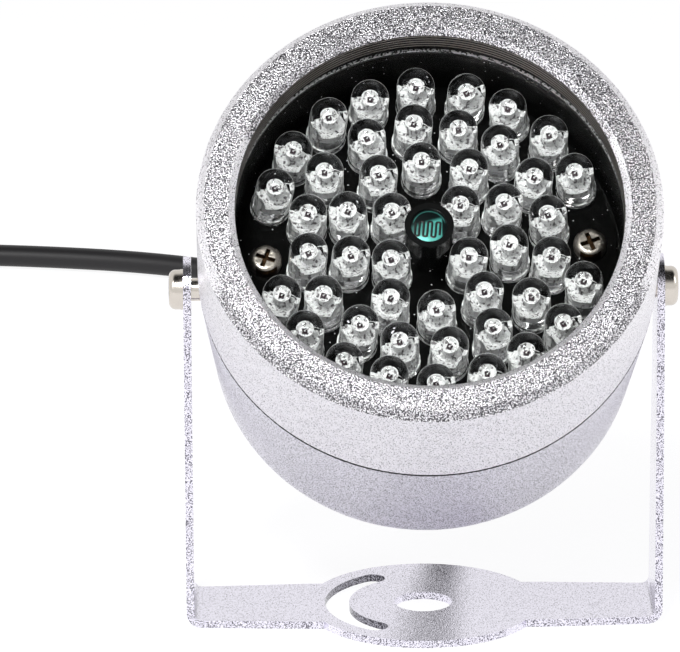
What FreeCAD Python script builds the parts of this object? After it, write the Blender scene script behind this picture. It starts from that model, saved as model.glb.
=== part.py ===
import FreeCAD, Part
import math
import os
import re
import Sketcher

# Small round infrared lamp on a folded sheet bracket, in millimetres.
# Origin: centre of the hole in the bracket's foot, on its underside. +Z is up, the lamp looks toward -Y.
# The lamp's own pieces are drawn round the tilt axis: local +Z runs forward along the lamp's axis,
# and a "depth" is counted backward from the front face of the ring.

DRIVING_SIZES = {
    # light sensor in its sleeve, in the middle of the board
    "sleeve_head_diameter": 6.3,
    "sleeve_head_wall": 0.8,
    "sleeve_head_length": 3.3,
    "sleeve_step": 0.95,
    "sleeve_recess": 0.4,
    "sleeve_clearance": 0.05,
    "sensor_thickness": 1.8,
    # lamps
    "lamp_diameter": 4.9,
    "lamp_rim_width": 0.15,
    "lamp_rim_height": 1.0,
    "lamp_height": 8.6,
    "lamp_to_glass": 0.3,
    "lamp_wander_angle": 2.4,
    "outer_lean_angle": 4.0,
    "third_lean_angle": 1.5,
    "second_lean_angle": 0.1,
    "inner_lean_angle": 0.1,
    "second_ring_nesting": 0.4,
    "third_ring_clearance": 0.1,
    "outer_ring_clearance": 0.2,
    # lamp board
    "board_thickness": 1.6,
    "board_margin": 0.4,
    "board_clearance": 0.7,
    "board_turn_angle": 2.7,
    "board_screw_inset": 0.4,
    # glass and its gasket
    "glass_thickness": 1.5,
    "glass_clearance": 0.25,
    "gasket_thickness": 0.9,
    "gasket_width": 2.0,
    # front ring
    "ring_wall": 2.4,
    "ring_length": 17.5,
    "ring_bevel": 1.0,
    "bore_bevel": 0.85,
    "lip_length": 3.8,
    "lip_width": 2.55,
    "seam_bevel": 0.25,
    # rear shell
    "neck_wall": 2.2,
    "thread_clearance": 0.05,
    "shell_length": 27.0,
    "shell_taper": 2.35,
    "shell_rear_round": 7.0,
    "shell_wall": 2.2,
    "ledge_width": 2.0,
    "ledge_behind_seam": 1.0,
    "lug_wall": 1.95,
    "lug_length": 4.4,
    "boss_wall": 2.5,
    "boss_length": 5.0,
    "seal_section": 1.0,
    "seal_from_seam": 1.1,
    # stance of the lamp in its bracket
    "aim_angle": 42.3,
    "tilt_behind_seam": 6.5,
    "swing_clearance": 5.154,
    "arm_clearance": 0.55,
    "near_arm_clearance": 0.2,
    # folded sheet bracket
    "sheet": 1.0,
    "bend_radius": 1.0,
    "arm_edge": 2.8,
    "arm_taper": 2.4,
    "foot_flare": 0.75,
    "foot_hole_diameter": 7.6,
    "slot_web": 6.0,
    "slot_width": 3.2,
    "slot_margin": 2.2,
    "slot_sweep_angle": 111.0,
    # screws
    "tilt_screw_diameter": 3.0,
    "tilt_head_rim": 1.1,
    "tilt_head_height": 1.5,
    "tilt_head_round": 0.9,
    "tilt_cross_angle": 35.0,
    "tilt_washer_rim": 0.05,
    "tilt_washer_thickness": 0.4,
    "tilt_running_clearance": 0.08,
    "board_screw_diameter": 2.5,
    "board_head_rim": 0.9,
    "board_head_height": 1.5,
    "board_head_round": 0.9,
    "board_cross_angle": 20.0,
    "board_screw_grip": 4.0,
    "board_hole_clearance": 0.1,
    "cross_width": 0.6,
    "cross_margin": 0.85,
    "cross_depth": 0.9,
    # parts on the back of the board
    "connector_width": 7.5,
    "connector_depth": 5.7,
    "connector_height": 7.0,
    "part_spacing": 3.0,
    "transistor_width": 8.0,
    "transistor_thickness": 2.7,
    "transistor_height": 10.8,
    "transistor_leg": 0.7,
    "transistor_leg_pitch": 2.5,
    "transistor_lift": 2.0,
    "resistor_diameter": 2.3,
    "resistor_length": 6.3,
    "resistor_pitch": 3.2,
    "axial_span": 9.0,
    "axial_wire": 0.6,
    "axial_lift": 0.1,
    "diode_diameter": 2.6,
    "diode_length": 5.0,
    "trimmer_side": 6.5,
    "trimmer_height": 3.8,
    "trimmer_screw_diameter": 3.4,
    "trimmer_screw_height": 0.95,
    # strain relief and cord
    "cord_diameter": 3.4,
    "relief_grip": 1.3,
    "relief_tip_wall": 0.8,
    "relief_root_step": 0.6,
    "relief_flange_step": 1.2,
    "relief_flange_thickness": 1.4,
    "relief_flange_round": 0.7,
    "relief_length": 12.0,
    "relief_gap": 0.3,
    "coil_middle_diameter": 38.0,
    "coil_slack": 0.2,
    "coil_round": 1.6,
    "tie_width": 4.0,
    "tie_thickness": 0.5,
    "tie_slack": 0.2,
    "floor_clearance": 0.05,
    # inline power socket
    "socket_pin_diameter": 2.1,
    "socket_pin_room": 2.15,
    "socket_wall": 2.1,
    "socket_length": 20.0,
    "socket_boot_length": 11.0,
    "socket_boot_wall": 1.0,
    "socket_bore_depth": 9.5,
    "socket_boot_round": 2.6,
    "socket_sleeve_wall": 0.35,
    "socket_pin_recess": 0.7,
    "socket_pin_round": 0.5,
}

COIL_TURNS_WIDE = 3
COIL_TURNS_HIGH = 2
RESISTOR_COUNT = 6

# Sizes that follow from the ones above, outward from the sensor to the bracket and backward from the front.
FOLLOWING_SIZES = {
    "lamp_rim_diameter": "lamp_diameter + 2 * lamp_rim_width",
    "inner_circle": "sleeve_head_diameter + lamp_rim_diameter + 2 * sleeve_clearance",
    "second_circle": "inner_circle + 2 * ( lamp_rim_diameter - second_ring_nesting )",
    "third_circle": "second_circle + 2 * ( lamp_rim_diameter + third_ring_clearance )",
    "outer_circle": "third_circle + 2 * ( lamp_rim_diameter + outer_ring_clearance )",
    "board_diameter": "outer_circle + lamp_rim_diameter + 2 * board_margin",
    "board_screw_circle": "outer_circle - 2 * board_screw_inset",
    "neck_bore": "board_diameter + 2 * board_clearance",
    "neck_diameter": "neck_bore + 2 * neck_wall",
    "thread_diameter": "neck_diameter + 2 * thread_clearance",
    "bore_diameter": "thread_diameter - 2 * lip_width",
    "ring_diameter": "thread_diameter + 2 * ring_wall",
    "shell_rear_diameter": "ring_diameter - 2 * shell_taper",
    "arm_inner": "ring_diameter / 2 + arm_clearance",
    "arm_outer": "arm_inner + sheet",
    "side_shift": "arm_clearance - near_arm_clearance",
    "glass_back": "lip_length + glass_thickness",
    "neck_front": "glass_back + gasket_thickness",
    "board_front": "glass_back + lamp_to_glass + lamp_height",
    "board_back": "board_front + board_thickness",
    "shell_back": "ring_length + shell_length",
    "tilt_depth": "ring_length + tilt_behind_seam",
    "tilt_height": "sqrt( tilt_depth ^ 2 + ring_diameter ^ 2 / 4 ) + sheet + swing_clearance",
    "tilt_head_diameter": "tilt_screw_diameter + 2 * tilt_head_rim",
    "tilt_washer_diameter": "tilt_head_diameter + 2 * tilt_washer_rim",
    "board_head_diameter": "board_screw_diameter + 2 * board_head_rim",
    "arm_top_width": "tilt_screw_diameter + 2 * arm_edge",
    "arm_foot_width": "arm_top_width + 2 * arm_taper",
    "foot_width": "arm_foot_width + 2 * foot_flare",
    "slot_inner": "foot_hole_diameter / 2 + slot_web",
    "slot_outer": "slot_inner + slot_width",
    "disc_diameter": "2 * ( slot_outer + slot_margin )",
    "relief_tip_diameter": "cord_diameter + 2 * relief_tip_wall",
    "relief_neck_diameter": "cord_diameter + 2 * relief_grip",
    "relief_root_diameter": "relief_neck_diameter + 2 * relief_root_step",
    "relief_flange_diameter": "relief_root_diameter + 2 * relief_flange_step",
    "coil_width": f"cord_diameter * {COIL_TURNS_WIDE} + coil_slack",
    "coil_height": f"cord_diameter * {COIL_TURNS_HIGH}",
    "coil_inner": "( coil_middle_diameter - coil_width ) / 2",
    "coil_outer": "( coil_middle_diameter + coil_width ) / 2",
    "socket_bore_diameter": "socket_pin_diameter + 2 * socket_pin_room",
    "socket_diameter": "socket_bore_diameter + 2 * socket_wall",
    "socket_boot_diameter": "cord_diameter + 2 * socket_boot_wall",
}

# Places on the floor that the cord passes, chosen by hand: behind the lamp, then away to the left.
CORD_FLOOR_ROUTE = [
    (4.0, 78.0),
    (4.5, 109.0),
    (-7.0, 137.0),
    (-32.5, 153.6),
    (-62.0, 161.4),
    (-86.0, 162.6),
]
COIL_CENTRE = (-96.0, 142.5)
TIE_ANGLE = 300.0
TAIL_ROUTE = [(-118.2, 137.0), (-118.9, 127.0), (-118.2, 117.0)]
ARC_SHARE = 0.45

# Each row of lamps is one arc: its circle, how many lamps it has, the bearing of its middle on the board
# and the step from lamp to lamp.
LAMP_ARCS = {
    "lamps_outer_upper": {"circle": "outer", "count": 9, "middle_angle": 90.4, "step_angle": 17.1},
    "lamps_outer_lower": {"circle": "outer", "count": 9, "middle_angle": 269.2, "step_angle": 17.0},
    "lamps_third_right": {"circle": "third", "count": 8, "middle_angle": 39.3, "step_angle": 21.8},
    "lamps_third_left": {"circle": "third", "count": 8, "middle_angle": 220.4, "step_angle": 22.0},
    "lamps_second_upper": {"circle": "second", "count": 7, "middle_angle": 90.7, "step_angle": 34.1},
    "lamps_second_lower": {"circle": "second", "count": 3, "middle_angle": 272.4, "step_angle": 33.9},
    "lamps_inner_upper": {"circle": "inner", "count": 2, "middle_angle": 90.7, "step_angle": 102.3},
    "lamps_inner_lower": {"circle": "inner", "count": 2, "middle_angle": 268.7, "step_angle": 109.3},
}
WANDER_STEP_ANGLE = 211.0
EDGE_TOLERANCE = 0.01

doc = FreeCAD.newDocument("infrared_lamp")
sheet = doc.addObject("Spreadsheet::Sheet", "Sizes")
for row, (alias, number) in enumerate(DRIVING_SIZES.items(), start=1):
    sheet.set(f"A{row}", alias)
    sheet.set(f"B{row}", str(number))
    sheet.setAlias(f"B{row}", alias)
doc.recompute()

nodes = {}


def bound(text):
    """The expression with each size's name pointed at the sheet, or at what it follows from."""
    def pointed(word):
        name = word.group()
        if name in FOLLOWING_SIZES:
            return f"( {bound(FOLLOWING_SIZES[name])} )"
        return f"Sizes.{name}" if name in DRIVING_SIZES else name

    return re.sub("[a-z_]+", pointed, text)


def value(text):
    """What an expression over the sheet comes to, in millimetres or degrees."""
    return float(sheet.evalExpression(bound(text)))


def depth(text):
    """Local height of a plane that lies this deep behind the ring's front face."""
    return f"tilt_depth - ( {text} )"


BOARD_BACK_PLACE = depth("board_back")


def place_in_world(item):
    """Leaves a piece where it is drawn, in the part's own frame."""
    item.Placement = FreeCAD.Placement()


def place_in_lamp(item):
    """Carries a piece drawn round the tilt axis to the lamp's aim and height."""
    turn = FreeCAD.Rotation(FreeCAD.Vector(1, 0, 0), 90 - value("aim_angle"))
    item.Placement = FreeCAD.Placement(FreeCAD.Vector(value("side_shift"), 0, value("tilt_height")), turn)
    item.setExpression("Placement.Base.x", bound("side_shift"))
    item.setExpression("Placement.Base.z", bound("tilt_height"))
    item.setExpression("Placement.Rotation.Angle", bound("90 - aim_angle"))


def lamp_placement():
    """The lamp's placement as a value, for shapes that are copied into it."""
    turn = FreeCAD.Rotation(FreeCAD.Vector(1, 0, 0), 90 - value("aim_angle"))
    return FreeCAD.Placement(FreeCAD.Vector(value("side_shift"), 0, value("tilt_height")), turn)


def new_body(label, placing, kept=True):
    body = doc.addObject("PartDesign::Body", label)
    body.Label = label
    placing(body)
    if kept:
        nodes[label] = body
    return body


def sketch_on(body, role, name, lift=None):
    """A sketch on one of the body's own origin planes, raised from it by an expression."""
    plane = [item for item in body.Origin.OriginFeatures if item.Role == role][0]
    sketch = body.newObject("Sketcher::SketchObject", f"{body.Name}_{name}")
    sketch.AttachmentSupport = [(plane, "")]
    sketch.MapMode = "FlatFace"
    if lift is not None:
        sketch.setExpression("AttachmentOffset.Base.z", bound(lift))
    return sketch


def pin_down(sketch, line, x_text, y_text):
    """Holds the start point of a line at two expressions over the sheet."""
    for kind, text, axis in (("DistanceX", x_text, -2), ("DistanceY", y_text, -1)):
        if text == "0":
            sketch.addConstraint(Sketcher.Constraint("PointOnObject", line, 1, axis))
            continue
        index = sketch.addConstraint(Sketcher.Constraint(kind, -1, 1, line, 1, value(text)))
        sketch.setExpression(f"Constraints[{index}]", bound(text))


def outline(sketch, corners):
    """Closed outline through corners given as pairs of expressions."""
    spots = [FreeCAD.Vector(value(x), value(y), 0) for x, y in corners]
    first = sketch.GeometryCount
    for start, end in zip(spots, spots[1:] + spots[:1]):
        sketch.addGeometry(Part.LineSegment(start, end), False)
    count = len(corners)
    for step in range(count):
        following = first + (step + 1) % count
        sketch.addConstraint(Sketcher.Constraint("Coincident", first + step, 2, following, 1))
    for step, (x, y) in enumerate(corners):
        pin_down(sketch, first + step, x, y)


def circle(sketch, x_text, y_text, diameter_text):
    """Circle whose centre and diameter follow expressions."""
    centre = FreeCAD.Vector(value(x_text), value(y_text), 0)
    radius = value(diameter_text) / 2
    line = sketch.addGeometry(Part.Circle(centre, FreeCAD.Vector(0, 0, 1), radius), False)
    for kind, text in (("DistanceX", x_text), ("DistanceY", y_text)):
        if text == "0":
            axis = -2 if kind == "DistanceX" else -1
            sketch.addConstraint(Sketcher.Constraint("PointOnObject", line, 3, axis))
            continue
        index = sketch.addConstraint(Sketcher.Constraint(kind, -1, 1, line, 3, value(text)))
        sketch.setExpression(f"Constraints[{index}]", bound(text))
    index = sketch.addConstraint(Sketcher.Constraint("Diameter", line, 2 * radius))
    sketch.setExpression(f"Constraints[{index}]", bound(diameter_text))


def pad(body, sketch, length, midplane=False, backward=False):
    feature = body.newObject("PartDesign::Pad", f"{sketch.Name}_pad")
    feature.Profile = sketch
    feature.Length = value(length)
    feature.setExpression("Length", bound(length))
    feature.Midplane = midplane
    feature.Reversed = backward
    return feature


def pocket(body, sketch, length, midplane=False, backward=False):
    """A cut, compared with the solid before it so that one that misses is noticed."""
    doc.recompute()
    before = body.Shape.Volume
    feature = body.newObject("PartDesign::Pocket", f"{sketch.Name}_cut")
    feature.Profile = sketch
    feature.Length = value(length)
    feature.setExpression("Length", bound(length))
    feature.Midplane = midplane
    feature.Reversed = backward
    doc.recompute()
    if not body.Shape.Volume < before:
        raise RuntimeError(f"{feature.Name} cuts nothing")
    return feature


def turned(label, corners, placing=place_in_lamp, kept=True):
    """A piece turned on a lathe: corners are radius and height, the axis is local Z."""
    body = new_body(label, placing, kept)
    sketch = sketch_on(body, "XZ_Plane", "profile")
    outline(sketch, corners)
    feature = body.newObject("PartDesign::Revolution", f"{label}_turned")
    feature.Profile = sketch
    feature.ReferenceAxis = (sketch, ["V_Axis"])
    feature.Angle = 360
    doc.recompute()
    return body


def edges_where(shape, wanted):
    """Names of the edges whose middle passes a test."""
    found = []
    for number, edge in enumerate(shape.Edges, start=1):
        middle = edge.valueAt((edge.FirstParameter + edge.LastParameter) / 2)
        if wanted(edge, middle):
            found.append(f"Edge{number}")
    return found


def round_edges(body, wanted, radius):
    """Rounds the chosen edges of the body's last feature."""
    doc.recompute()
    base = body.Tip
    names = edges_where(base.Shape, wanted)
    if not names:
        raise RuntimeError(f"{body.Label} has no edge to round")
    feature = body.newObject("PartDesign::Fillet", f"{body.Name}_round")
    feature.Base = (base, names)
    feature.Radius = value(radius)
    feature.setExpression("Radius", bound(radius))
    doc.recompute()
    return feature


def fold_edge(across_text, height_text):
    """Test for a straight edge across the middle of the sheet, at this distance from it and this height."""
    across = value(across_text)
    height = value(height_text)

    def wanted(edge, middle):
        level = abs(middle.y) < EDGE_TOLERANCE and abs(middle.z - height) < EDGE_TOLERANCE
        return level and abs(abs(middle.x) - across) < EDGE_TOLERANCE

    return wanted


def ring_edge(radius_text, height_text):
    """Test for a round edge of this radius at this local height."""
    radius = value(radius_text)
    height = value(height_text)

    def wanted(edge, middle):
        same_height = abs(middle.z - height) < EDGE_TOLERANCE
        return same_height and abs(math.hypot(middle.x, middle.y) - radius) < EDGE_TOLERANCE

    return wanted


def make_bracket():
    """One folded sheet: a foot with a round pad, and two arms that taper to rounded ends."""
    body = new_body("bracket", place_in_world)
    side = sketch_on(body, "XZ_Plane", "fold")
    outline(side, [
        ("0 - arm_outer", "0"),
        ("arm_outer", "0"),
        ("arm_outer", "tilt_height"),
        ("arm_inner", "tilt_height"),
        ("arm_inner", "sheet"),
        ("0 - arm_inner", "sheet"),
        ("0 - arm_inner", "tilt_height"),
        ("0 - arm_outer", "tilt_height"),
    ])
    pad(body, side, "foot_width", midplane=True)
    round_edges(body, fold_edge("arm_inner", "sheet"), "bend_radius")
    round_edges(body, fold_edge("arm_outer", "0"), "bend_radius + sheet")

    for name, sign in (("back", ""), ("front", "0 - ")):
        taper = sketch_on(body, "XY_Plane", f"taper_{name}")
        wide = f"{sign}( foot_width / 2 )"
        narrow = f"{sign}( arm_foot_width / 2 )"
        beyond = f"{sign}( foot_width / 2 + sheet )"
        outline(taper, [
            ("0 - arm_outer - sheet", narrow),
            ("0 - arm_inner + bend_radius", narrow),
            ("0 - disc_diameter / 2", wide),
            ("disc_diameter / 2", wide),
            ("arm_inner - bend_radius", narrow),
            ("arm_outer + sheet", narrow),
            ("arm_outer + sheet", beyond),
            ("0 - arm_outer - sheet", beyond),
        ])
        pocket(body, taper, "( tilt_height + sheet ) * 2", midplane=True)

        arm = sketch_on(body, "YZ_Plane", f"arm_{name}")
        outline(arm, [
            (narrow, "bend_radius + sheet"),
            (f"{sign}( arm_top_width / 2 )", "tilt_height"),
            (f"{sign}( arm_top_width / 2 )", "tilt_height + sheet"),
            (beyond, "tilt_height + sheet"),
            (beyond, "bend_radius + sheet"),
        ])
        pocket(body, arm, "2 * arm_outer + 2 * sheet", midplane=True)

    for name, start in (("right", "arm_inner"), ("left", "0 - arm_outer")):
        end = sketch_on(body, "YZ_Plane", f"end_{name}", lift=start)
        circle(end, "0", "tilt_height", "arm_top_width")
        pad(body, end, "sheet")
    disc = sketch_on(body, "XY_Plane", "disc")
    circle(disc, "0", "0", "disc_diameter")
    pad(body, disc, "sheet")

    hole = sketch_on(body, "XY_Plane", "foot_hole")
    circle(hole, "0", "0", "foot_hole_diameter")
    pocket(body, hole, "sheet * 4", midplane=True)
    pivot = sketch_on(body, "YZ_Plane", "pivot_holes")
    circle(pivot, "0", "tilt_height", "tilt_screw_diameter + tilt_running_clearance * 2")
    pocket(body, pivot, "2 * arm_outer + 2 * sheet", midplane=True)

    slot = sketch_on(body, "XZ_Plane", "slot")
    outline(slot, [
        ("0 - slot_outer", "0 - sheet"),
        ("0 - slot_inner", "0 - sheet"),
        ("0 - slot_inner", "sheet * 2"),
        ("0 - slot_outer", "sheet * 2"),
    ])
    groove = body.newObject("PartDesign::Groove", "slot_groove")
    groove.Profile = slot
    groove.ReferenceAxis = (slot, ["V_Axis"])
    groove.Angle = value("slot_sweep_angle")
    groove.setExpression("Angle", bound("slot_sweep_angle"))
    groove.Midplane = True
    ends = sketch_on(body, "XY_Plane", "slot_ends")
    middle = "( slot_inner + slot_outer ) / 2"
    for sign in ("", "0 - "):
        circle(ends, f"0 - {middle} * cos( slot_sweep_angle / 2 * 1deg )",
               f"{sign}{middle} * sin( slot_sweep_angle / 2 * 1deg )", "slot_width")
    pocket(body, ends, "sheet * 4", midplane=True)


def make_front_ring():
    """Bevelled ring with a plain lip in front of the glass and a wide thread behind it."""
    outer = "ring_diameter / 2"
    bore = "bore_diameter / 2"
    turned("front_ring", [
        ("thread_diameter / 2", depth("lip_length")),
        (bore, depth("lip_length")),
        (bore, depth("bore_bevel")),
        (f"{bore} + bore_bevel", depth("0")),
        (f"{outer} - ring_bevel", depth("0")),
        (outer, depth("ring_bevel")),
        (outer, depth("ring_length - seam_bevel")),
        (f"{outer} - seam_bevel", depth("ring_length")),
        ("thread_diameter / 2", depth("ring_length")),
    ])


def make_glass():
    """Flat round pane behind the lip, pressed forward by a flat gasket."""
    edge = "thread_diameter / 2 - glass_clearance"
    turned("front_glass", [
        ("0", depth("glass_back")),
        (edge, depth("glass_back")),
        (edge, depth("lip_length")),
        ("0", depth("lip_length")),
    ])
    turned("glass_gasket", [
        (f"{edge} - gasket_width", depth("neck_front")),
        (edge, depth("neck_front")),
        (edge, depth("glass_back")),
        (f"{edge} - gasket_width", depth("glass_back")),
    ])


def make_rear_shell():
    """Cup-shaped shell: threaded neck, ledge and lugs for the board, tilt bosses and a rounded back."""
    seam = "ring_diameter / 2"
    rear = "shell_rear_diameter / 2"
    back = depth("shell_back")
    floor = f"{back} + shell_wall"
    ledge_back = depth("ring_length + ledge_behind_seam")
    groove_low = depth("ring_length - seal_from_seam")
    groove_high = depth("ring_length - seal_from_seam - seal_section")
    bore = "neck_bore / 2"
    neck = "neck_diameter / 2"
    body = turned("rear_shell", [
        (bore, depth("neck_front")),
        (bore, depth("board_back")),
        (f"{bore} - ledge_width", depth("board_back")),
        (f"{bore} - ledge_width", ledge_back),
        (f"{seam} - shell_wall", ledge_back),
        (f"{rear} - shell_wall", floor),
        ("relief_neck_diameter / 2", floor),
        ("relief_neck_diameter / 2", back),
        (rear, back),
        (seam, depth("ring_length + seam_bevel")),
        (f"{seam} - seam_bevel", depth("ring_length")),
        (neck, depth("ring_length")),
        (neck, groove_low),
        (f"{neck} - seal_section", groove_low),
        (f"{neck} - seal_section", groove_high),
        (neck, groove_high),
        (neck, depth("neck_front")),
    ])
    round_edges(body, ring_edge(rear, back), "shell_rear_round")
    round_edges(body, ring_edge(f"{rear} - shell_wall", floor), "shell_rear_round - shell_wall")

    lugs = sketch_on(body, "XY_Plane", "lugs", lift=BOARD_BACK_PLACE)
    holes = sketch_on(body, "XY_Plane", "lug_holes", lift=BOARD_BACK_PLACE)
    for sign in ("", "0 - "):
        across = f"{sign}board_screw_circle / 2 * cos( board_turn_angle * 1deg )"
        along = f"{sign}board_screw_circle / 2 * sin( board_turn_angle * 1deg )"
        circle(lugs, across, along, "board_screw_diameter + 2 * lug_wall")
        circle(holes, across, along, "board_screw_diameter + thread_clearance * 2")
    pad(body, lugs, "lug_length", backward=True)

    reach = f"{seam} - shell_wall - boss_length"
    for name, start in (("right", reach), ("left", f"0 - ( {reach} + boss_length + shell_wall / 2 )")):
        boss = sketch_on(body, "YZ_Plane", f"boss_{name}", lift=start)
        circle(boss, "0", "0", "tilt_screw_diameter + 2 * boss_wall")
        pad(body, boss, "boss_length + shell_wall / 2")
    pocket(body, holes, "lug_length * 2")
    tilt = sketch_on(body, "YZ_Plane", "tilt_holes")
    circle(tilt, "0", "0", "tilt_screw_diameter + thread_clearance * 2")
    pocket(body, tilt, "ring_diameter * 2", midplane=True)


def make_seam_seal():
    """Rubber ring in the neck's groove, where the front ring meets the shell."""
    seal = doc.addObject("Part::Torus", "seam_seal")
    seal.Label = "seam_seal"
    centre = "ring_length - seal_from_seam - seal_section / 2"
    seal.setExpression("Radius1", bound("neck_diameter / 2 - seal_section / 2"))
    seal.setExpression("Radius2", bound("seal_section / 2"))
    along = FreeCAD.Placement(FreeCAD.Vector(0, 0, value(depth(centre))), FreeCAD.Rotation())
    seal.Placement = lamp_placement().multiply(along)
    nodes["seam_seal"] = seal


def make_board():
    """Round board on the shell's ledge, held by two screws."""
    body = new_body("lamp_board", place_in_lamp)
    plate = sketch_on(body, "XY_Plane", "plate", lift=BOARD_BACK_PLACE)
    circle(plate, "0", "0", "board_diameter")
    pad(body, plate, "board_thickness")
    holes = sketch_on(body, "XY_Plane", "holes", lift=depth("board_front"))
    for sign in ("", "0 - "):
        circle(holes, f"{sign}board_screw_circle / 2 * cos( board_turn_angle * 1deg )",
               f"{sign}board_screw_circle / 2 * sin( board_turn_angle * 1deg )",
               "board_screw_diameter + board_hole_clearance * 2")
    pocket(body, holes, "board_thickness * 2")


def lamp_shape():
    """One clear lamp standing on the origin: rim, straight body and domed top."""
    radius = value("lamp_diameter") / 2
    rim = value("lamp_rim_diameter") / 2
    step = value("lamp_rim_height")
    top = value("lamp_height")
    shoulder = top - radius
    corners = [(0, 0), (rim, 0), (rim, step), (radius, step), (radius, shoulder)]
    spots = [FreeCAD.Vector(x, 0, z) for x, z in corners]
    edges = [Part.LineSegment(a, b).toShape() for a, b in zip(spots, spots[1:])]
    slant = radius * math.cos(math.radians(45))
    crown = FreeCAD.Vector(0, 0, top)
    edges.append(Part.Arc(spots[-1], FreeCAD.Vector(slant, 0, shoulder + slant), crown).toShape())
    edges.append(Part.LineSegment(crown, spots[0]).toShape())
    face = Part.Face(Part.Wire(edges))
    return face.revolve(FreeCAD.Vector(0, 0, 0), FreeCAD.Vector(0, 0, 1), 360)


def make_lamps():
    """Four rings of lamps, each ring two arcs, every lamp leaning a little as hand soldering leaves it."""
    lamp = lamp_shape()
    board_front = value(depth("board_front"))
    wander = value("lamp_wander_angle")
    number = 0
    for label, arc in LAMP_ARCS.items():
        radius = value(arc["circle"] + "_circle") / 2
        lean = value(arc["circle"] + "_lean_angle")
        first = arc["middle_angle"] + value("board_turn_angle") + arc["step_angle"] * (arc["count"] - 1) / 2
        copies = []
        for index in range(arc["count"]):
            bearing = math.radians(first - arc["step_angle"] * index)
            astray = math.radians(WANDER_STEP_ANGLE * number)
            number += 1
            lean_x = wander * math.cos(astray) - lean * math.cos(bearing)
            lean_y = wander * math.sin(astray) - lean * math.sin(bearing)
            angle = math.hypot(lean_x, lean_y)
            lift = value("lamp_rim_diameter") / 2 * math.sin(math.radians(angle))
            spot = FreeCAD.Vector(radius * math.cos(bearing), radius * math.sin(bearing), board_front + lift)
            copy = lamp.copy()
            leaning = FreeCAD.Rotation(FreeCAD.Vector(-lean_y, lean_x, 0), angle)
            copy.Placement = FreeCAD.Placement(spot, leaning)
            copies.append(copy)
        group = doc.addObject("Part::Feature", label)
        group.Label = label
        group.Shape = Part.makeCompound(copies)
        group.Placement = lamp_placement()
        nodes[label] = group


def make_light_sensor():
    """Light sensor disc in the head of a black sleeve that stands in the middle of the board."""
    front = depth("glass_back + lamp_to_glass")
    head = "sleeve_head_diameter / 2"
    neck = "sleeve_head_diameter / 2 - sleeve_step"
    seat = "sleeve_head_diameter / 2 - sleeve_head_wall"
    turned("sensor_sleeve", [
        ("0", depth("board_front")),
        (neck, depth("board_front")),
        (neck, f"{front} - sleeve_head_length"),
        (head, f"{front} - sleeve_head_length"),
        (head, front),
        (seat, front),
        (seat, f"{front} - sleeve_recess - sensor_thickness"),
        ("0", f"{front} - sleeve_recess - sensor_thickness"),
    ])
    turned("light_sensor", [
        ("0", f"{front} - sleeve_recess - sensor_thickness"),
        (seat, f"{front} - sleeve_recess - sensor_thickness"),
        (seat, f"{front} - sleeve_recess"),
        ("0", f"{front} - sleeve_recess"),
    ])


def make_screw(label, placement, kind, shank):
    """Pan-head screw with a cross recess: the head's seat is at local zero, the shank runs down."""
    head = f"{kind}_head_diameter / 2"
    rise = f"{kind}_head_height"
    thread = f"{kind}_screw_diameter / 2"

    def placing(item):
        item.Placement = placement

    body = turned(label, [
        ("0", f"0 - ( {shank} )"),
        (thread, f"0 - ( {shank} )"),
        (thread, "0"),
        (head, "0"),
        (head, rise),
        ("0", rise),
    ], placing)
    round_edges(body, ring_edge(head, rise), f"{kind}_head_round")
    length = f"{kind}_head_diameter - 2 * cross_margin"
    for name, across, along in (("x", length, "cross_width"), ("y", "cross_width", length)):
        cross = sketch_on(body, "XY_Plane", f"cross_{name}", lift=rise)
        outline(cross, [
            (f"0 - ( {across} ) / 2", f"0 - ( {along} ) / 2"),
            (f"( {across} ) / 2", f"0 - ( {along} ) / 2"),
            (f"( {across} ) / 2", f"( {along} ) / 2"),
            (f"0 - ( {across} ) / 2", f"( {along} ) / 2"),
        ])
        pocket(body, cross, "cross_depth")


def make_screws():
    """Two screws that hold the board, and two that hold the lamp between the bracket's arms."""
    reach = value("board_screw_circle") / 2
    turn = math.radians(value("board_turn_angle"))
    front = value(depth("board_front"))
    for label, sign in (("board_screw_right", 1), ("board_screw_left", -1)):
        spot = FreeCAD.Vector(sign * reach * math.cos(turn), sign * reach * math.sin(turn), front)
        spin = FreeCAD.Rotation(FreeCAD.Vector(0, 0, 1), sign * value("board_cross_angle"))
        place = lamp_placement().multiply(FreeCAD.Placement(spot, spin))
        make_screw(label, place, "board", "board_thickness + board_screw_grip")

    arm = value("arm_outer")
    washer = value("tilt_washer_thickness")
    height = value("tilt_height")
    shank = "arm_outer + tilt_washer_thickness - ( ring_diameter / 2 - shell_wall - boss_length / 2 )"
    for side, sign in (("right", 1), ("left", -1)):
        outward = FreeCAD.Rotation(FreeCAD.Vector(0, 1, 0), sign * 90)
        seat = FreeCAD.Placement(FreeCAD.Vector(sign * (arm + washer), 0, height), outward)
        spin = FreeCAD.Rotation(FreeCAD.Vector(0, 0, 1), value("tilt_cross_angle"))
        place = seat.multiply(FreeCAD.Placement(FreeCAD.Vector(), spin))
        make_screw(f"tilt_screw_{side}", place, "tilt", shank)

        def beside_arm(item, place=FreeCAD.Placement(FreeCAD.Vector(sign * arm, 0, height), outward)):
            item.Placement = place

        turned(f"tilt_washer_{side}", [
            ("tilt_screw_diameter / 2 + thread_clearance", "0"),
            ("tilt_washer_diameter / 2", "0"),
            ("tilt_washer_diameter / 2", "tilt_washer_thickness"),
            ("tilt_screw_diameter / 2 + thread_clearance", "tilt_washer_thickness"),
        ], beside_arm)


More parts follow.
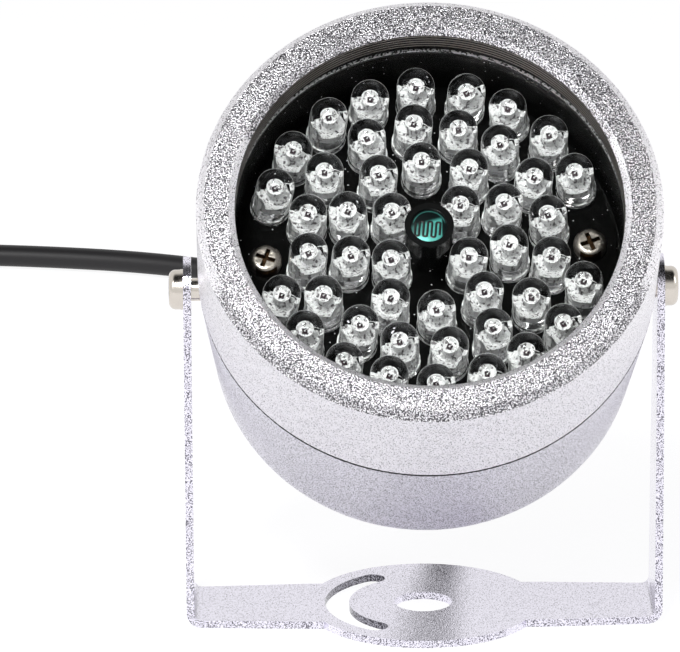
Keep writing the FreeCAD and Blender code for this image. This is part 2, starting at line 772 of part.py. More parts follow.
def block(label, x_text, y_text, z_text, wide, deep, high):
    """A box centred on x and y that stands on z, bound to the sheet, in the lamp's frame."""
    box = doc.addObject("Part::Box", label)
    box.setExpression("Length", bound(wide))
    box.setExpression("Width", bound(deep))
    box.setExpression("Height", bound(high))
    corner = FreeCAD.Vector(value(f"{x_text} - {wide} / 2"), value(f"{y_text} - {deep} / 2"), value(z_text))
    box.Placement = lamp_placement().multiply(FreeCAD.Placement(corner, FreeCAD.Rotation()))
    return box


def fused(label, pieces):
    """Several primitives as one solid."""
    whole = doc.addObject("Part::MultiFuse", label)
    whole.Label = label
    whole.Shapes = pieces
    nodes[label] = whole


def axial_part(kind):
    """Round body lying along local X on its two bent wires, whose feet stand on the plane above it."""
    width = value(f"{kind}_diameter")
    length = value(f"{kind}_length")
    span = value("axial_span")
    wire = value("axial_wire") / 2
    lift = width / 2 + value("axial_lift")
    along = FreeCAD.Vector(1, 0, 0)
    body = Part.makeCylinder(width / 2, length, FreeCAD.Vector(-length / 2, 0, -lift), along)
    whole = body.fuse(Part.makeCylinder(wire, span, FreeCAD.Vector(-span / 2, 0, -lift), along))
    for sign in (-1, 1):
        foot = FreeCAD.Vector(sign * (span / 2 - wire), 0, -lift)
        whole = whole.fuse(Part.makeCylinder(wire, lift, foot, FreeCAD.Vector(0, 0, 1)))
    return whole.removeSplitter()


def lay_on_board(item, x_text, y_text):
    """Puts a shape drawn at local zero on the back of the board, at this place."""
    spot = FreeCAD.Vector(value(x_text), value(y_text), value(BOARD_BACK_PLACE))
    item.Placement = FreeCAD.Placement(spot, FreeCAD.Rotation())


def make_board_back():
    """Driver parts on the back of the board, round the connector that the lead plugs into."""
    under = BOARD_BACK_PLACE
    connector = block("lead_connector", "0", "0", f"{under} - connector_height",
                      "connector_width", "connector_depth", "connector_height")
    connector.Label = "lead_connector"
    nodes["lead_connector"] = connector

    below = "0 - ( connector_depth / 2 + part_spacing + transistor_thickness / 2 )"
    pieces = [block("transistor_case", "0", below, f"{under} - transistor_lift - transistor_height",
                    "transistor_width", "transistor_thickness", "transistor_height")]
    for number, spread in enumerate(("0 - transistor_leg_pitch", "0", "transistor_leg_pitch")):
        pieces.append(block(f"transistor_leg_{number}", spread, below,
                            f"{under} - transistor_lift - transistor_leg",
                            "transistor_leg", "transistor_leg", "transistor_lift + transistor_leg"))
    fused("driver_transistor", pieces)

    left = "0 - ( connector_width / 2 + part_spacing + trimmer_side / 2 )"
    above = "connector_depth / 2 + part_spacing + trimmer_side / 2"
    case = block("trimmer_case", left, above, f"{under} - trimmer_height",
                 "trimmer_side", "trimmer_side", "trimmer_height")
    screw = doc.addObject("Part::Cylinder", "trimmer_screw")
    screw.setExpression("Radius", bound("trimmer_screw_diameter / 2"))
    screw.setExpression("Height", bound("trimmer_screw_height"))
    bottom = value(f"{under} - trimmer_height - trimmer_screw_height")
    spot = FreeCAD.Vector(value(left), value(above), bottom)
    screw.Placement = lamp_placement().multiply(FreeCAD.Placement(spot, FreeCAD.Rotation()))
    fused("trimmer", [case, screw])

    beside = "connector_width / 2 + part_spacing + axial_span / 2"
    one = axial_part("resistor")
    row = []
    for number in range(RESISTOR_COUNT):
        copy = one.copy()
        lay_on_board(copy, beside, f"resistor_pitch * ( {number} - ( {RESISTOR_COUNT} - 1 ) / 2 )")
        row.append(copy)
    resistors = doc.addObject("Part::Feature", "resistors")
    resistors.Label = "resistors"
    resistors.Shape = Part.makeCompound(row)
    resistors.Placement = lamp_placement()
    nodes["resistors"] = resistors

    diode_shape = axial_part("diode")
    below = "0 - ( connector_depth / 2 + part_spacing + diode_diameter / 2 )"
    lay_on_board(diode_shape, f"0 - ( {beside} )", below)
    diode = doc.addObject("Part::Feature", "input_diode")
    diode.Label = "input_diode"
    diode.Shape = Part.makeCompound([diode_shape])
    diode.Placement = lamp_placement()
    nodes["input_diode"] = diode


def make_strain_relief():
    """Tapered black relief pressed into the shell's back, and the lead that it grips."""
    back = depth("shell_back")
    lead = "cord_diameter / 2"
    body = turned("strain_relief", [
        (lead, f"{back} + shell_wall"),
        (lead, f"{back} - relief_length"),
        ("relief_tip_diameter / 2", f"{back} - relief_length"),
        ("relief_root_diameter / 2", f"{back} - relief_flange_thickness"),
        ("relief_flange_diameter / 2", f"{back} - relief_flange_thickness"),
        ("relief_flange_diameter / 2", back),
        ("relief_neck_diameter / 2", back),
        ("relief_neck_diameter / 2", f"{back} + shell_wall"),
    ])
    round_edges(body, ring_edge("relief_flange_diameter / 2", f"{back} - relief_flange_thickness"),
                "relief_flange_round")
    turned("lead_in", [
        ("0", f"{back} - relief_length"),
        (lead, f"{back} - relief_length"),
        (lead, f"{BOARD_BACK_PLACE} - connector_height"),
        ("0", f"{BOARD_BACK_PLACE} - connector_height"),
    ])


def tube_along(spots, diameter):
    """Round tube along straight runs joined by tangent arcs, as large as the runs allow."""
    edges = []
    at = spots[0]
    radii = []
    for before, corner, after in zip(spots, spots[1:], spots[2:]):
        arriving = corner.sub(before)
        leaving = after.sub(corner)
        turn = arriving.getAngle(leaving)
        shorter = min(arriving.Length, leaving.Length)
        cut = ARC_SHARE * shorter
        radii.append(cut / math.tan(turn / 2))
        arriving.normalize()
        leaving.normalize()
        start = corner.sub(FreeCAD.Vector(arriving).multiply(cut))
        end = corner.add(FreeCAD.Vector(leaving).multiply(cut))
        inward = FreeCAD.Vector(leaving).sub(arriving)
        inward.normalize()
        middle = corner.add(inward.multiply(radii[-1] * (1 / math.cos(turn / 2) - 1)))
        edges.append(Part.LineSegment(at, start).toShape())
        edges.append(Part.Arc(start, middle, end).toShape())
        at = end
    edges.append(Part.LineSegment(at, spots[-1]).toShape())
    path = Part.Wire(edges)
    heading = spots[1].sub(spots[0])
    section = Part.Wire(Part.makeCircle(diameter / 2, spots[0], heading))
    tube = path.makePipeShell([section], True, True)
    return tube, path.Length, radii


def make_cord():
    """Cord down from the strain relief to the floor, back behind the lamp and away to a tied coil."""
    diameter = value("cord_diameter")
    floor = value("cord_diameter / 2 + floor_clearance")
    aim = math.radians(value("aim_angle"))
    reach = -value(depth("shell_back")) + value("relief_length") + value("relief_gap")
    side = value("side_shift")
    start = FreeCAD.Vector(side, reach * math.cos(aim), value("tilt_height") - reach * math.sin(aim))
    fall = (start.z - floor) / math.tan(aim)
    landing = FreeCAD.Vector(side, start.y + fall, floor)
    spots = [start, landing] + [FreeCAD.Vector(x, y, floor) for x, y in CORD_FLOOR_ROUTE]

    centre = FreeCAD.Vector(COIL_CENTRE[0], COIL_CENTRE[1], 0)

    def beside_lamp(item):
        item.Placement = FreeCAD.Placement(centre, FreeCAD.Rotation(FreeCAD.Vector(0, 0, 1), TIE_ANGLE))

    coil = turned("cord_coil", [
        ("coil_inner", "0"),
        ("coil_outer", "0"),
        ("coil_outer", "coil_height"),
        ("coil_inner", "coil_height"),
    ], beside_lamp)
    for radius in ("coil_inner", "coil_outer"):
        for level in ("0", "coil_height"):
            round_edges(coil, ring_edge(radius, level), "coil_round")

    hollow_inner = "coil_inner - tie_slack"
    tie_inner = f"{hollow_inner} - tie_thickness"
    tie_outer = "coil_outer + tie_thickness"
    tie = new_body("coil_tie", beside_lamp)
    band = sketch_on(tie, "XZ_Plane", "band")
    outline(band, [
        (tie_inner, "0"),
        (tie_outer, "0"),
        (tie_outer, "coil_height + tie_thickness"),
        (tie_inner, "coil_height + tie_thickness"),
    ])
    pad(tie, band, "tie_width", midplane=True)
    hollow = sketch_on(tie, "XZ_Plane", "hollow")
    outline(hollow, [
        (hollow_inner, "tie_thickness"),
        ("coil_outer", "tie_thickness"),
        ("coil_outer", "coil_height"),
        (hollow_inner, "coil_height"),
    ])
    pocket(tie, hollow, "tie_width * 2", midplane=True)
    notch = sketch_on(coil, "XZ_Plane", "tie_notch")
    outline(notch, [
        (tie_inner, "0 - tie_thickness"),
        (tie_outer, "0 - tie_thickness"),
        (tie_outer, "tie_thickness"),
        (tie_inner, "tie_thickness"),
    ])
    pocket(coil, notch, "tie_width", midplane=True)

    tube, length, radii = tube_along(spots, diameter)
    print("cord radii", [round(radius, 1) for radius in radii], "length", round(length, 1))
    print("cord volume ratio", round(tube.Volume / (math.pi * diameter ** 2 / 4 * length), 4))
    cord = doc.addObject("Part::Feature", "cord")
    cord.Label = "cord"
    cord.Shape = tube.cut(coil.Shape)
    nodes["cord"] = cord

    tail_level = value("socket_diameter / 2 + floor_clearance")
    tail_spots = [FreeCAD.Vector(x, y, tail_level) for x, y in TAIL_ROUTE]
    tail_tube, tail_length, tail_radii = tube_along(tail_spots, diameter)
    print("tail radii", [round(radius, 1) for radius in tail_radii], "length", round(tail_length, 1))
    tail = doc.addObject("Part::Feature", "cord_tail")
    tail.Label = "cord_tail"
    tail.Shape = tail_tube.cut(coil.Shape)
    nodes["cord_tail"] = tail
    make_socket(tail_spots[-1], tail_spots[-1].sub(tail_spots[-2]))


def make_socket(spot, heading):
    """Moulded inline socket on the end of the cord, lying on the floor, with its sleeve and pin."""
    bearing = math.degrees(math.atan2(heading.y, heading.x))
    level = FreeCAD.Rotation(FreeCAD.Vector(0, 0, 1), bearing)
    lying = level.multiply(FreeCAD.Rotation(FreeCAD.Vector(0, 1, 0), 90))

    def at_cord_end(item):
        item.Placement = FreeCAD.Placement(FreeCAD.Vector(spot.x, spot.y, spot.z), lying)

    whole = "socket_boot_length + socket_length"
    bottom = f"{whole} - socket_bore_depth"
    sleeve_inner = "socket_bore_diameter / 2 - socket_sleeve_wall"
    pin_end = f"{whole} - socket_pin_recess"
    body = turned("power_socket", [
        ("0", "0"),
        ("socket_boot_diameter / 2", "0"),
        ("socket_diameter / 2", "socket_boot_length"),
        ("socket_diameter / 2", whole),
        ("socket_bore_diameter / 2", whole),
        ("socket_bore_diameter / 2", bottom),
        ("0", bottom),
    ], at_cord_end)
    round_edges(body, ring_edge("socket_diameter / 2", "socket_boot_length"), "socket_boot_round")
    turned("socket_sleeve", [
        (sleeve_inner, bottom),
        ("socket_bore_diameter / 2", bottom),
        ("socket_bore_diameter / 2", whole),
        (sleeve_inner, whole),
    ], at_cord_end)
    pin = turned("socket_pin", [
        ("0", bottom),
        ("socket_pin_diameter / 2", bottom),
        ("socket_pin_diameter / 2", pin_end),
        ("0", pin_end),
    ], at_cord_end)
    round_edges(pin, ring_edge("socket_pin_diameter / 2", pin_end), "socket_pin_round")


def check_and_write():
    """Every object has to be sound before any file is written."""
    doc.recompute()
    for item in doc.Objects:
        if "Invalid" in item.State or "Error" in item.State:
            raise RuntimeError(f"{item.Label} is {item.State}")
    for label, item in nodes.items():
        if item.Shape.isNull() or not item.Shape.isValid():
            raise RuntimeError(f"{label} has no sound shape")
    os.makedirs("parts", exist_ok=True)
    for label, item in nodes.items():
        item.Shape.exportStep(f"parts/{label}.step")
    print(len(nodes), "sub-parts written")


make_bracket()
make_front_ring()
make_glass()
make_rear_shell()
make_seam_seal()
make_board()
make_lamps()
make_light_sensor()
make_screws()
make_board_back()
make_strain_relief()
make_cord()
check_and_write()
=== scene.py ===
import math
import bmesh
import bpy
from collections import namedtuple
from mathutils import Matrix, Vector


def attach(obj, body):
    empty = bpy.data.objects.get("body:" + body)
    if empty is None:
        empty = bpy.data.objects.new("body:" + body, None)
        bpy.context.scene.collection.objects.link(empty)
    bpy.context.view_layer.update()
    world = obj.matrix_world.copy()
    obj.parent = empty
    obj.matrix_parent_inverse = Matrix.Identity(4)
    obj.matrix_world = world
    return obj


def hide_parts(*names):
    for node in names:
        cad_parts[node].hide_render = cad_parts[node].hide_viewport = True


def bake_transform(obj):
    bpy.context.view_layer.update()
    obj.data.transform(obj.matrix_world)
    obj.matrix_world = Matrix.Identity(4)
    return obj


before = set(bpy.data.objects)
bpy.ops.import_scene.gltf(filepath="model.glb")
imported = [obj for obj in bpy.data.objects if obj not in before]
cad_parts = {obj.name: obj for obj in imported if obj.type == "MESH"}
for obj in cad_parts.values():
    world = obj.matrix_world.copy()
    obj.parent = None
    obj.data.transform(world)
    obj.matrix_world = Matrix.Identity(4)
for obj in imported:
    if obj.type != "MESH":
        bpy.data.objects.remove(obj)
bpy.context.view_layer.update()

# Small round infrared lamp on a folded sheet bracket. Lengths are written in millimetres and turned to metres
# where they are used; the camera and the studio are in metres. Angles are in degrees unless a comment says
# otherwise. The lamp's own frame has its origin on the tilt axis and +Z forward along the lamp; a depth is
# counted backward from the front face of the ring.
MM = 0.001
AIM = 42.3
SIDE_SHIFT = 0.35
TILT_HEIGHT = 44.3
TILT_DEPTH = 24.0
LAMP = Matrix.Translation((SIDE_SHIFT * MM, 0, TILT_HEIGHT * MM)) @ Matrix.Rotation(math.radians(90 - AIM), 4, "X")

# Where one finish ends and the next begins on the lamp: radii from its axis and depths.
FACE_END_DEPTH = 0.5
RING_BORE_RADIUS = 24.74
RING_SEAM_DEPTH = 17.3
NECK_BORE_RADIUS = 25.15
BLACKENED_DEPTH = 38.0
SHELL_SEAM_DEPTH = 17.72
GASKET_EDGE_RADIUS = 25.2
GASKET_MIDDLE_DEPTH = 5.75
RELIEF_RIB_DEPTHS = (55.6, 46.6)
# The cross recess of a board screw: its reach to either side of the screws' circle and its height over the board.
SCREW_CIRCLE_RADIUS = 20.9
SCREW_RECESS_REACH = 1.35
SCREW_RECESS_HEIGHTS = (0.05, 1.3)
# The curved slot's radii round the middle of the foot, and the socket's ribs, which lie this far behind it.
SLOT_RADII = (8.6, 13.3)
SOCKET_RIBS = (88.0, 115.5)

# The clear lamps and the light sensor's face.
BOARD_DEPTH = 14.2
LAMP_RADIUS = 2.45
RIM_RADIUS = 2.6
RIM_HEIGHT = 1.0
DOME_START = 6.15
SENSOR_FACE_DEPTH = 6.0

# The cord.
CORD_DIAMETER = 3.4
CORD_LEVEL = 1.75


def depth(distance):
    """Height in the lamp's frame of a plane this far behind the ring's front face."""
    return TILT_DEPTH - distance


# ---------------------------------------------------------------- shader nodes


def linear(text):
    """Linear colour from an sRGB hex value."""
    parts = [int(text[index:index + 2], 16) / 255 for index in (0, 2, 4)]
    curved = [part / 12.92 if part <= 0.04045 else ((part + 0.055) / 1.055) ** 2.4 for part in parts]
    return (*curved, 1)


def add(tree, kind, settings=None, inputs=None):
    """Adds a node with its settings; an input that is a socket is linked, any other is set."""
    node = tree.nodes.new(kind)
    for name, setting in (settings or {}).items():
        setattr(node, name, setting)
    for name, content in (inputs or {}).items():
        if isinstance(content, bpy.types.NodeSocket):
            tree.links.new(content, node.inputs[name])
        else:
            node.inputs[name].default_value = content
    return node


def blank(name):
    """A material with an empty node tree."""
    material = bpy.data.materials.new(name)
    material.use_nodes = True
    material.node_tree.nodes.clear()
    return material, material.node_tree


def finish(name, inputs):
    """A material on the standard surface shader; returns it with its node tree and shader."""
    material, tree = blank(name)
    skin = add(tree, "ShaderNodeBsdfPrincipled", inputs=inputs)
    add(tree, "ShaderNodeOutputMaterial", inputs={"Surface": skin.outputs[0]})
    return material, tree, skin


def object_place(tree):
    return add(tree, "ShaderNodeTexCoord").outputs["Object"]


def object_normal(tree):
    return add(tree, "ShaderNodeTexCoord").outputs["Normal"]


def split(tree, vector):
    """X, Y and Z of a vector, by name."""
    return add(tree, "ShaderNodeSeparateXYZ", inputs={"Vector": vector}).outputs


def calc(tree, operation, *numbers):
    """Result of a math node on these numbers."""
    return add(tree, "ShaderNodeMath", {"operation": operation}, dict(enumerate(numbers))).outputs[0]


def vector_calc(tree, operation, *vectors):
    """Outputs of a vector math node on these vectors."""
    return add(tree, "ShaderNodeVectorMath", {"operation": operation}, dict(enumerate(vectors))).outputs


def below(tree, number, limit):
    """1 where the number is less than the limit, else 0."""
    return calc(tree, "LESS_THAN", number, limit)


def both(tree, first, second):
    """Product of two masks or numbers."""
    return calc(tree, "MULTIPLY", first, second)


def larger(tree, first, second):
    """The larger of two masks."""
    return calc(tree, "MAXIMUM", first, second)


def total(tree, number, factor, rest):
    """The number times the factor, plus the rest."""
    return calc(tree, "MULTIPLY_ADD", number, factor, rest)


def within(tree, number, low, high):
    """1 where a length lies between these two, given in millimetres."""
    return both(tree, below(tree, number, high * MM), below(tree, low * MM, number))


def ramp(tree, number, start, end, low=0.0, high=1.0):
    """Runs smoothly from low to high as the number goes from start to end."""
    return add(tree, "ShaderNodeMapRange", {"interpolation_type": "SMOOTHSTEP"}, {
        "Value": number, "From Min": start, "From Max": end, "To Min": low, "To Max": high}).outputs[0]


def ramp_mm(tree, number, start, end, low=0.0, high=1.0):
    """The same for a length, with start and end in millimetres."""
    return ramp(tree, number, start * MM, end * MM, low, high)


def blended(tree, mask, first, second, kind="RGBA"):
    """The first colour or number where the mask is 0 and the second where it is 1; colours may be hex values."""
    node = add(tree, "ShaderNodeMix", {"data_type": kind})
    first_input, second_input, result = {"RGBA": (6, 7, 2), "FLOAT": (2, 3, 0)}[kind]
    for socket, content in ((0, mask), (first_input, first), (second_input, second)):
        if isinstance(content, bpy.types.NodeSocket):
            tree.links.new(content, node.inputs[socket])
        else:
            node.inputs[socket].default_value = linear(content) if isinstance(content, str) else content
    return node.outputs[result]


def tint(tree, skin, mask, first, second):
    """Gives the shader a base colour that goes from the first to the second with the mask."""
    tree.links.new(blended(tree, mask, first, second), skin.inputs["Base Color"])


def noise(tree, place, size, detail, **others):
    """Cloudy noise whose spots are about this many millimetres across."""
    return add(tree, "ShaderNodeTexNoise", inputs={
        "Vector": place, "Scale": 1 / (size * MM), "Detail": detail, **others}).outputs["Fac"]


def emboss(tree, skin, height, strength, distance):
    """Bump of this many millimetres on the shader; returns its node."""
    bump = add(tree, "ShaderNodeBump", inputs={"Strength": strength, "Distance": distance * MM, "Height": height})
    tree.links.new(bump.outputs["Normal"], skin.inputs["Normal"])
    return bump


def from_axis(tree, place):
    """Distance from the Z axis."""
    return vector_calc(tree, "LENGTH", vector_calc(tree, "MULTIPLY", place, (1, 1, 0))[0])["Value"]


LampFrame = namedtuple("LampFrame", "place radius along")


def lamp_frame(tree):
    """Coordinates in the lamp's own frame, distance from its axis and height along it, in metres."""
    place = add(tree, "ShaderNodeMapping", {"vector_type": "TEXTURE"}, {
        "Vector": object_place(tree), "Location": (SIDE_SHIFT * MM, 0, TILT_HEIGHT * MM),
        "Rotation": (math.radians(90 - AIM), 0, 0)}).outputs[0]
    return LampFrame(place, from_axis(tree, place), split(tree, place)["Z"])


def outer_faces(tree):
    """1 where a ray meets a surface from outside and 0 where it meets it from within."""
    return total(tree, add(tree, "ShaderNodeNewGeometry").outputs["Backfacing"], -1.0, 1.0)


def ray_is(tree, *kinds):
    """1 for rays of any of these kinds."""
    rays = add(tree, "ShaderNodeLightPath").outputs
    found = rays[kinds[0]]
    for kind in kinds[1:]:
        found = larger(tree, found, rays[kind])
    return found


# ---------------------------------------------------------------- paint

Paint = namedtuple("Paint", "material tree skin colour height bump")
PAINT_BUMP = 0.08


def grains(tree, place, size):
    """Height and shade of a sand-textured coat whose grains are this many millimetres across."""
    shade = noise(tree, place, size, 1.5, Roughness=0.65)
    cells = add(tree, "ShaderNodeTexVoronoi", inputs={"Vector": place, "Scale": 0.9 / (size * MM)})
    return total(tree, cells.outputs["Distance"], -1.0, shade), shade


def sand_paint(name, pale, dark, size=0.17, strength=0.9, share=0.4, roughness=0.3, front_shade=0.12):
    """Silver powder paint with a fine sand texture: flakes mirror softly and each grain tilts its own way.

    The share is the noise level up to which the dark base shows between the grains. Finer grains than
    about 0.16 mm don't survive the render, so they are drawn no finer.
    """
    material, tree, skin = finish(name, {"Metallic": 0.95, "Roughness": roughness})
    height, shade = grains(tree, object_place(tree), size)
    # faces that look forward, the sheet's cut edges and the ring's face, get more dark grains: painted shade on the
    # side that faces the front
    front_painted_shade = ramp(tree, split(tree, object_normal(tree))["Y"], -0.68, -0.735, 0.0, -front_shade)
    tone = ramp(tree, total(tree, front_painted_shade, 1.0, shade), share - 0.04, share + 0.08)
    colour = blended(tree, tone, dark, pale)
    tree.links.new(colour, skin.inputs["Base Color"])
    bump = emboss(tree, skin, height, strength, PAINT_BUMP)
    return Paint(material, tree, skin, colour, height, bump)


def bracket_paint():
    """The bracket's paler coat of the same paint, with painted shade on the walls of the curved slot."""
    paint = sand_paint("pale_silver_sand_paint", "F6F3FF", "5A5860", size=0.16, strength=0.25, share=0.37,
                       roughness=0.05, front_shade=0.07)
    tree = paint.tree
    upright = ramp(tree, calc(tree, "ABSOLUTE", split(tree, object_normal(tree))["Z"]), 0.7, 0.4)
    slot = both(tree, upright, within(tree, from_axis(tree, object_place(tree)), *SLOT_RADII))
    # painted shade: the walls of the curved slot are coloured dark, with a paler speckle
    thin = blended(tree, ramp(tree, paint.height, -0.1, 0.15), "3E3C42", "B4B2BC")
    tint(tree, paint.skin, slot, paint.colour, thin)
    return paint.material


def ring_paint():
    """The housing's paint on the front ring; its bore has the lathe's fine grooves and is coloured in dark and
    bright bands along them, a painted reflection.
    """
    paint = sand_paint("silver_sand_paint_on_ring", "FDFBFF", "4C4A4E", share=0.38)
    tree = paint.tree
    here = lamp_frame(tree)
    bore = below(tree, here.radius, RING_BORE_RADIUS * MM)
    dark_seam = blended(tree, below(tree, here.along, depth(RING_SEAM_DEPTH) * MM), paint.colour, "1C1A1C")
    # the lathe's feed marks, about 0.3 mm apart, are drawn 0.6 mm apart so that they show
    feed = 0.6
    wave = calc(tree, "SINE", both(tree, here.along, math.tau / (feed * MM)))
    # painted reflection in the bore: the dark bands stand for the dark inside that it mirrors and the bright ones
    # for light caught on the grooves
    bore_painted_reflection = blended(tree, ramp(tree, wave, 0.2, 0.95), "2E2826", "C4BCB6")
    tint(tree, paint.skin, bore, dark_seam, bore_painted_reflection)
    # the front face falls away outwards under its thick paint, at this slope
    face_slope = 0.15
    # how strongly the grooves stand out beside the grain
    groove_share = 0.6
    front = calc(tree, "GREATER_THAN", here.along, depth(FACE_END_DEPTH) * MM)
    painted = total(tree, both(tree, front, here.radius), -face_slope / (PAINT_BUMP * MM), paint.height)
    grooved = total(tree, wave, groove_share, paint.height)
    tree.links.new(blended(tree, bore, painted, grooved, "FLOAT"), paint.bump.inputs["Height"])
    return paint.material


def shell_paint():
    """The housing's paint on the rear shell, whose neck and ledge are blackened inside and hold a little dust."""
    paint = sand_paint("silver_sand_paint_on_shell", "F6F4FC", "5A585C", share=0.42)
    tree, skin = paint.tree, paint.skin
    skin.inputs["Specular IOR Level"].default_value = 0.15
    here = lamp_frame(tree)
    inside = both(tree, below(tree, here.radius, NECK_BORE_RADIUS * MM),
                  below(tree, depth(BLACKENED_DEPTH) * MM, here.along))
    black = larger(tree, inside, below(tree, depth(SHELL_SEAM_DEPTH) * MM, here.along))
    tint(tree, skin, black, paint.colour, blended(tree, dust(tree, here.place), "050505", "C8C8CC"))
    tree.links.new(blended(tree, black, 0.95, 0.0, "FLOAT"), skin.inputs["Metallic"])
    tree.links.new(blended(tree, black, 0.28, 0.25, "FLOAT"), skin.inputs["Roughness"])
    return paint.material


# ---------------------------------------------------------------- other finishes


def dust(tree, place, spacing=1.1, radius=0.09):
    """Mask of small round specks of dust, in millimetres."""
    cells = add(tree, "ShaderNodeTexVoronoi", inputs={"Vector": place, "Scale": 1 / (spacing * MM)})
    return below(tree, cells.outputs["Distance"], radius / spacing)


def solder_mask():
    """Black solder mask of the lamp board: an even dark film with a little dust on it."""
    material, tree, skin = finish("black_solder_mask", {"Roughness": 0.2, "IOR": 1.4, "Specular IOR Level": 0.2})
    tint(tree, skin, dust(tree, object_place(tree)), "050505", "D0D0D4")
    return material


def let_lamps_through(tree, surface):
    """Lets the studio lamps' light pass straight through, so that it reaches what is inside."""
    through = add(tree, "ShaderNodeBsdfTransparent")
    mixed = add(tree, "ShaderNodeMixShader", inputs={
        0: ray_is(tree, "Is Shadow Ray"), 1: surface, 2: through.outputs[0]})
    output = next(node for node in tree.nodes if node.type == "OUTPUT_MATERIAL")
    tree.links.new(mixed.outputs[0], output.inputs["Surface"])


def clear_epoxy():
    """Water-clear moulded epoxy of the lamps: smooth, bends light strongly, slightly wavy from its mould, with
    painted white highlights.
    """
    material, tree, skin = finish("water_clear_epoxy", {
        "Base Color": linear("FBFAFD"), "Roughness": 0.0, "IOR": 1.53, "Transmission Weight": 1.0,
        "Specular Tint": linear("A0A0A4")})
    waves = noise(tree, object_place(tree), 0.9, 1.0)
    emboss(tree, skin, waves, 0.3, 0.05)
    # painted highlights: a white layer is mixed in along the outline of each dome where it is seen at a flat angle,
    # and outside in uneven streaks on its straight sides and at the two edges of its rim, where the studio's boxes
    # would show
    outline = ramp(tree, add(tree, "ShaderNodeLayerWeight", inputs={"Blend": 0.5}).outputs["Facing"], 0.8, 0.95)
    along = lamp_frame(tree).along
    aside = calc(tree, "ABSOLUTE", split(tree, object_normal(tree))["X"])
    shoulder = both(tree, ramp(tree, aside, 0.6, 0.7), ramp(tree, aside, 0.9, 0.8))
    marks = both(tree, shoulder, ramp_mm(tree, along, depth(8.0), depth(9.5), 0.0, 0.85))
    for edge in (depth(BOARD_DEPTH), depth(BOARD_DEPTH - RIM_HEIGHT)):
        marks = larger(tree, marks, both(tree, ramp_mm(tree, along, edge + 0.05, edge + 0.15),
                                         ramp_mm(tree, along, edge + 0.5, edge + 0.35)))
    uneven = both(tree, outer_faces(tree), ramp(tree, waves, 0.42, 0.56, 0.15, 1.0))
    white = add(tree, "ShaderNodeBsdfDiffuse", inputs={"Color": linear("FFFFFF")})
    with_painted_highlights = add(tree, "ShaderNodeMixShader", inputs={
        0: larger(tree, outline, both(tree, marks, uneven)), 1: skin.outputs[0], 2: white.outputs[0]})
    let_lamps_through(tree, with_painted_highlights.outputs[0])
    return material


def stamped_silver():
    """Silver-plated stamped lead frame inside a lamp: bright, with the dents of the stamping and cloudy plating."""
    material, tree, skin = finish("silver_plated_lead_frame", {"Metallic": 0.2, "Roughness": 0.25})
    place = lamp_frame(tree).place
    dents = noise(tree, place, 0.2, 2.0, Roughness=0.6)
    # behind the cups the streaks of the drawing die run along the posts, dark and bright
    streaks = noise(tree, vector_calc(tree, "MULTIPLY", place, (1, 1, 0.12))[0], 0.26, 1.0)
    tone = ramp(tree, total(tree, streaks, 0.7, both(tree, dents, 0.3)), 0.375, 0.485)
    tint(tree, skin, tone, "7A7678", "FFFFFF")
    emboss(tree, skin, dents, 1.0, 0.3)
    return material


def cloudy_base_and_painted_reflection():
    """Underside of the lamps' epoxy, where the resin was poured: cloudy white with fine flow lines; its pale colour
    also stands in for the light that the flat underside reflects, a painted reflection.
    """
    material, tree, skin = finish("poured_epoxy_base_painted_reflection", {"Roughness": 0.5})
    flow = noise(tree, object_place(tree), 0.7, 3.0, Distortion=1.5)
    tint(tree, skin, ramp(tree, flow, 0.35, 0.6), "8A888C", "FBFAFC")
    return material


def sawn_chip():
    """Gallium arsenide chip, sawn and polished: dark grey-violet, with the fine saw marks on its sides."""
    material, tree, skin = finish("sawn_gallium_arsenide", {"Metallic": 0.6, "Roughness": 0.25})
    tint(tree, skin, noise(tree, object_place(tree), 0.08, 1.0), "1A1216", "54424A")
    return material


def rubber_with_dotted_edge():
    """Black nitrile gasket with a fine dotted white line along its inner edge."""
    material, tree, skin = finish("black_nitrile_gasket", {"Roughness": 0.6})
    here = lamp_frame(tree)
    dots = ramp(tree, noise(tree, object_place(tree), 0.3, 0.0), 0.4, 0.52)
    edge = both(tree, below(tree, here.radius, GASKET_EDGE_RADIUS * MM),
                below(tree, depth(GASKET_MIDDLE_DEPTH) * MM, here.along))
    tint(tree, skin, both(tree, dots, edge), "0B0B0B", "D8D6D8")
    return material


def plated_steel():
    """Nickel-plated steel of the screws: mirrors the room, a little cloudy where it was handled."""
    material, tree, skin = finish("nickel_plated_steel", {"Base Color": linear("D6CFC6"), "Metallic": 1.0})
    cloud = noise(tree, object_place(tree), 0.9, 2.0)
    tone = add(tree, "ShaderNodeMapRange", inputs={"Value": cloud, "To Min": 0.08, "To Max": 0.3})
    tree.links.new(tone.outputs[0], skin.inputs["Roughness"])
    emboss(tree, skin, cloud, 0.3, 0.02)
    return material


def board_screw_steel():
    """Nickel-plated board screws, whose cross recess is coloured dark brown."""
    material, tree, skin = finish("nickel_plated_board_screw", {"Metallic": 1.0, "Roughness": 0.34})
    here = lamp_frame(tree)
    gap = calc(tree, "SUBTRACT", here.radius, SCREW_CIRCLE_RADIUS * MM)
    low, high = (depth(BOARD_DEPTH) + height for height in SCREW_RECESS_HEIGHTS)
    recess = both(tree, within(tree, here.along, low, high),
                  within(tree, gap, -SCREW_RECESS_REACH, SCREW_RECESS_REACH))
    cloud = noise(tree, here.place, 0.35, 2.0)
    tint(tree, skin, recess, blended(tree, cloud, "5E5650", "E6DDD4"), "3A2A1C")
    emboss(tree, skin, cloud, 0.8, 0.06)
    return material


def pvc(name, base, roughness):
    """Soft PVC of the cord, satin, with the faint ripple that the extruder leaves."""
    material, tree, skin = finish(name, {"Base Color": linear(base), "Roughness": roughness, "IOR": 1.52})
    emboss(tree, skin, noise(tree, object_place(tree), 0.6, 2.0), 0.25, 0.03)
    return material


def along_lamp(tree):
    return lamp_frame(tree).along


